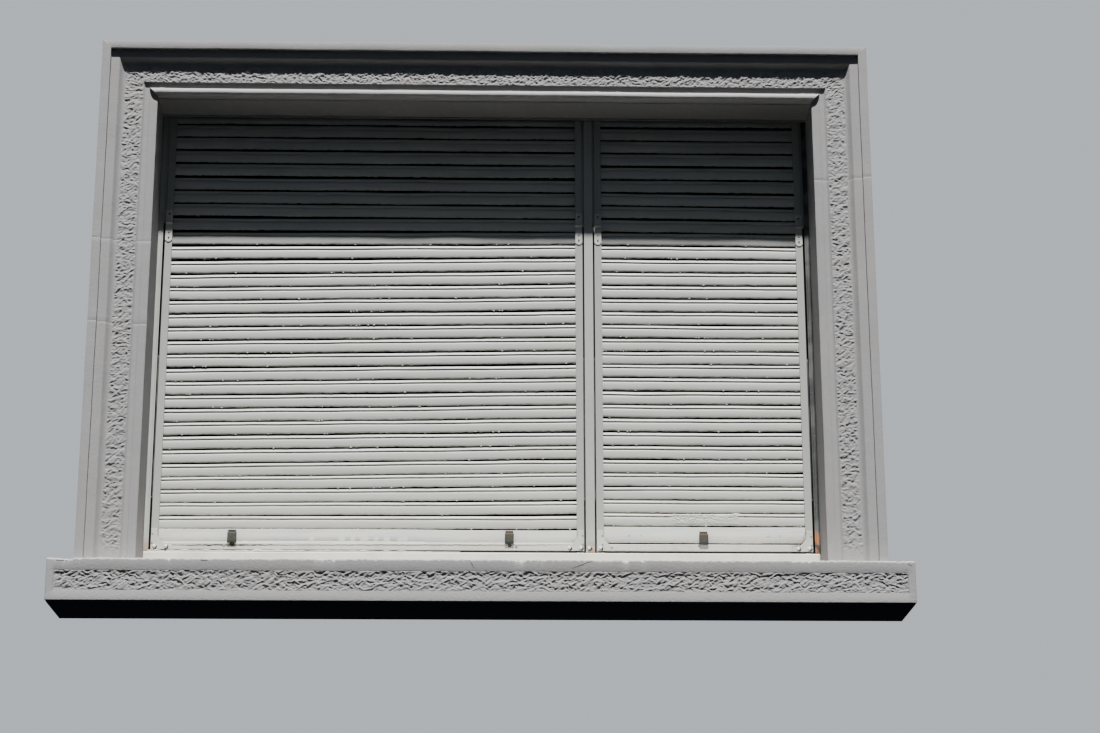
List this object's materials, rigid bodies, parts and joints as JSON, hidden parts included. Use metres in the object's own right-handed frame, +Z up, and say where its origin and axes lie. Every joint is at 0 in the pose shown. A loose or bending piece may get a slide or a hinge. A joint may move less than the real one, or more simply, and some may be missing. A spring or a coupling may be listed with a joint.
{
  "type": "double roller shutter in a moulded stone surround",
  "caption": "Pair of closed slatted roller shutters with swing-out lower frames, centre post, winding box and a moulded stone surround with sill.",
  "frame": {"origin": "middle of the window on the wall's outer face, at the underside of the sill", "axes": "+X along the window to the right seen from outside, +Y into the wall, +Z up"},
  "size_m": [2.586, 0.45, 1.892],
  "materials": {
    "stone": "matte",
    "slat_paint": "satin",
    "frame_paint": "satin",
    "box_wood": "matte",
    "guide_paint": "satin",
    "hardware_paint": "satin",
    "steel": "satin",
    "block_rubber": "matte"
  },
  "bodies": {
    "root": {"barrel_bearings": "steel", "box_back_cover": "box_wood", "box_divider": "box_wood", "box_floor_board": "box_wood", "box_front_board": "box_wood", "box_left_end": "box_wood", "box_right_end": "box_wood", "box_top_board": "box_wood", "centre_mullion": "frame_paint", "guide_packers": "frame_paint", "left_inner_fixed_guide": "guide_paint", "left_outer_fixed_guide": "guide_paint", "left_side_post": "frame_paint", "right_inner_fixed_guide": "guide_paint", "right_outer_fixed_guide": "guide_paint", "right_side_post": "frame_paint", "sill": "stone", "strap_guides": "steel", "surround_head": "stone", "surround_left_jamb": "stone", "surround_right_jamb": "stone", "threshold": "frame_paint", "upper_hinge_leaves": "hardware_paint"},
    "left_frame": {"left_outer_swing_guide": "guide_paint", "left_inner_swing_guide": "guide_paint", "left_bottom_rail": "guide_paint", "left_corner_plates": "hardware_paint", "left_corner_bolts": "hardware_paint", "left_lower_hinge_leaves": "hardware_paint", "left_stay_pivots": "steel"},
    "left_stays": {"left_stay_arms": "steel"},
    "left_lower_curtain": {"left_lower_slats": "slat_paint", "left_lower_links": "steel", "left_bottom_slat": "slat_paint", "left_stop_blocks": "block_rubber"},
    "left_upper_curtain": {"left_upper_slats": "slat_paint", "left_upper_links": "steel", "left_hangers": "steel"},
    "left_winding_barrel": {"left_barrel": "steel", "left_barrel_end": "steel", "left_strap_pulley": "steel"},
    "right_frame": {"right_outer_swing_guide": "guide_paint", "right_inner_swing_guide": "guide_paint", "right_bottom_rail": "guide_paint", "right_corner_plates": "hardware_paint", "right_corner_bolts": "hardware_paint", "right_lower_hinge_leaves": "hardware_paint", "right_stay_pivots": "steel"},
    "right_stays": {"right_stay_arms": "steel"},
    "right_lower_curtain": {"right_lower_slats": "slat_paint", "right_lower_links": "steel", "right_bottom_slat": "slat_paint", "right_stop_blocks": "block_rubber"},
    "right_upper_curtain": {"right_upper_slats": "slat_paint", "right_upper_links": "steel", "right_hangers": "steel"},
    "right_winding_barrel": {"right_barrel": "steel", "right_barrel_end": "steel", "right_strap_pulley": "steel"}
  },
  "joints": [
    {"name": "left_swing", "type": "hinge", "parent": "root", "child": "left_frame", "pos_m": [-0.3535, 0.149, 1.273], "axis": [-1, 0, 0], "range_deg": [0, 35]},
    {"name": "left_stay", "type": "hinge", "parent": "left_frame", "child": "left_stays", "pos_m": [-0.3535, 0.158, 0.82309], "axis": [-1, 0, 0], "range_deg": [-70, 0]},
    {"name": "left_lift", "type": "slide", "parent": "left_frame", "child": "left_lower_curtain", "axis": [0, 0, 1], "range_m": [0, 0.0896]},
    {"name": "left_upper_lift", "type": "slide", "parent": "root", "child": "left_upper_curtain", "axis": [0, 0, 1], "range_m": [0, 0.0896], "deforming": ["left_hangers"]},
    {"name": "left_barrel_turn", "type": "hinge", "parent": "root", "child": "left_winding_barrel", "pos_m": [-0.3535, 0.252, 1.782], "axis": [-1, 0, 0], "range_deg": [0, 160]},
    {"name": "right_swing", "type": "hinge", "parent": "root", "child": "right_frame", "pos_m": [0.6845, 0.149, 1.273], "axis": [-1, 0, 0], "range_deg": [0, 35]},
    {"name": "right_stay", "type": "hinge", "parent": "right_frame", "child": "right_stays", "pos_m": [0.6845, 0.158, 0.82309], "axis": [-1, 0, 0], "range_deg": [-70, 0]},
    {"name": "right_lift", "type": "slide", "parent": "right_frame", "child": "right_lower_curtain", "axis": [0, 0, 1], "range_m": [0, 0.0896]},
    {"name": "right_upper_lift", "type": "slide", "parent": "root", "child": "right_upper_curtain", "axis": [0, 0, 1], "range_m": [0, 0.0896], "deforming": ["right_hangers"]},
    {"name": "right_barrel_turn", "type": "hinge", "parent": "root", "child": "right_winding_barrel", "pos_m": [0.6845, 0.252, 1.782], "axis": [-1, 0, 0], "range_deg": [0, 160]}
  ],
  "couplings": [
    {"joint": "left_stay", "follows": "left_swing", "ratio": -2},
    {"joint": "left_upper_lift", "follows": "left_lift", "ratio": 1},
    {"joint": "left_barrel_turn", "follows": "left_lift", "rad_per_m": 31},
    {"joint": "right_stay", "follows": "right_swing", "ratio": -2},
    {"joint": "right_upper_lift", "follows": "right_lift", "ratio": 1},
    {"joint": "right_barrel_turn", "follows": "right_lift", "rad_per_m": 31}
  ]
}
